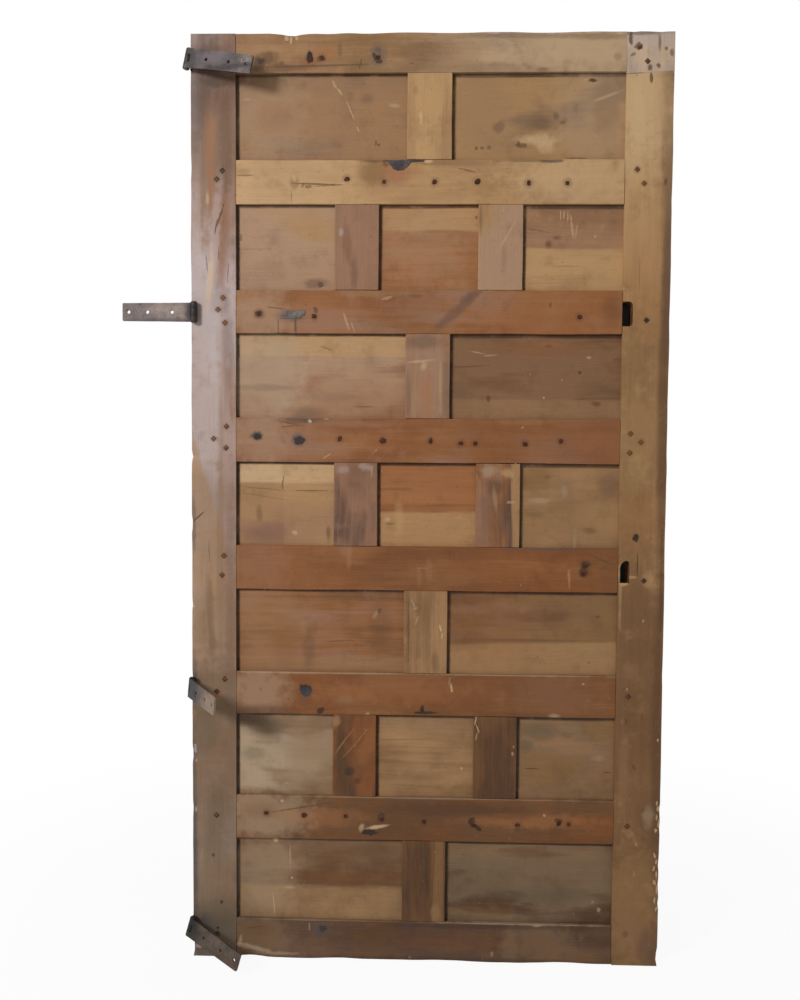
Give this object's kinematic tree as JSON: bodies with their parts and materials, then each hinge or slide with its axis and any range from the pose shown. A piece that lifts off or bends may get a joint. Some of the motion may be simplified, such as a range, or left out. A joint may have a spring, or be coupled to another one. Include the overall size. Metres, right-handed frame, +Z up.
{
  "type": "panelled wooden door leaf",
  "caption": "Old rectangular door leaf, framed in rails, stiles and short muntins with flat recessed panels, and iron strap hinges on one edge.",
  "frame": {"origin": "centre of the leaf's bottom edge, at the middle of its thickness", "axes": "+Z up the leaf, +X from the hinge stile to the lock stile, -Y out of the plain face that carries the strap hinges"},
  "size_m": [1.167, 0.1876, 2],
  "materials": {
    "hinge_stile_wood": "worn bare wood, greyed",
    "lock_stile_wood": "worn bare wood, golden brown",
    "rail_wood": "worn bare wood, red-brown",
    "muntin_wood": "worn bare wood, dark red-brown",
    "panel_wood": "worn bare wood, tan",
    "peg_wood": "dark end grain",
    "rusty_nails": "rusted",
    "hinge_iron": "dark forged iron"
  },
  "bodies": {
    "leaf": {"bottom_rail": "rail_wood", "hinge_1_edge_leaf": "hinge_iron", "hinge_2_edge_leaf": "hinge_iron", "hinge_3_edge_leaf": "hinge_iron", "hinge_4_edge_leaf": "hinge_iron", "hinge_screws": "hinge_iron", "hinge_stile": "hinge_stile_wood", "hinge_stile_pegs": "peg_wood", "lock_stile": "lock_stile_wood", "lock_stile_patch": "lock_stile_wood", "lock_stile_pegs": "peg_wood", "muntin_1_1": "muntin_wood", "muntin_2_1": "muntin_wood", "muntin_2_2": "muntin_wood", "muntin_3_1": "muntin_wood", "muntin_4_1": "muntin_wood", "muntin_4_2": "muntin_wood", "muntin_5_1": "muntin_wood", "muntin_6_1": "muntin_wood", "muntin_6_2": "muntin_wood", "muntin_7_1": "muntin_wood", "panel_1_1": "panel_wood", "panel_1_2": "panel_wood", "panel_2_1": "panel_wood", "panel_2_2": "panel_wood", "panel_2_3": "panel_wood", "panel_3_1": "panel_wood", "panel_3_2": "panel_wood", "panel_4_1": "panel_wood", "panel_4_2": "panel_wood", "panel_4_3": "panel_wood", "panel_5_1": "panel_wood", "panel_5_2": "panel_wood", "panel_6_1": "panel_wood", "panel_6_2": "panel_wood", "panel_6_3": "panel_wood", "panel_7_1": "panel_wood", "panel_7_2": "panel_wood", "rail_2": "rail_wood", "rail_3": "rail_wood", "rail_4": "rail_wood", "rail_5": "rail_wood", "rail_6": "rail_wood", "rail_7": "rail_wood", "rail_nails": "rusty_nails", "top_rail": "rail_wood"},
    "hinge_1": {"hinge_1_strap": "hinge_iron", "hinge_1_pin": "hinge_iron"},
    "hinge_2": {"hinge_2_strap": "hinge_iron", "hinge_2_pin": "hinge_iron"},
    "hinge_3": {"hinge_3_strap": "hinge_iron", "hinge_3_pin": "hinge_iron"},
    "hinge_4": {"hinge_4_strap": "hinge_iron", "hinge_4_pin": "hinge_iron"}
  },
  "joints": [
    {"name": "hinge_1_swing", "type": "hinge", "parent": "leaf", "child": "hinge_1", "pos_m": [-0.513, -0.031, 1.944], "axis": [-0.2079, 0, -0.9781], "range_deg": [-20, 175]},
    {"name": "hinge_2_swing", "type": "hinge", "parent": "leaf", "child": "hinge_2", "pos_m": [-0.502, -0.031, 1.414], "axis": [0, 0, -1], "range_deg": [-184, 3]},
    {"name": "hinge_3_swing", "type": "hinge", "parent": "leaf", "child": "hinge_3", "pos_m": [-0.509, -0.031, 0.603], "axis": [-0.0872, 0, -0.9962], "range_deg": [-61, 129]},
    {"name": "hinge_4_swing", "type": "hinge", "parent": "leaf", "child": "hinge_4", "pos_m": [-0.512, -0.031, 0.071], "axis": [-0.2672, 0, -0.9636], "range_deg": [-37, 152]}
  ]
}
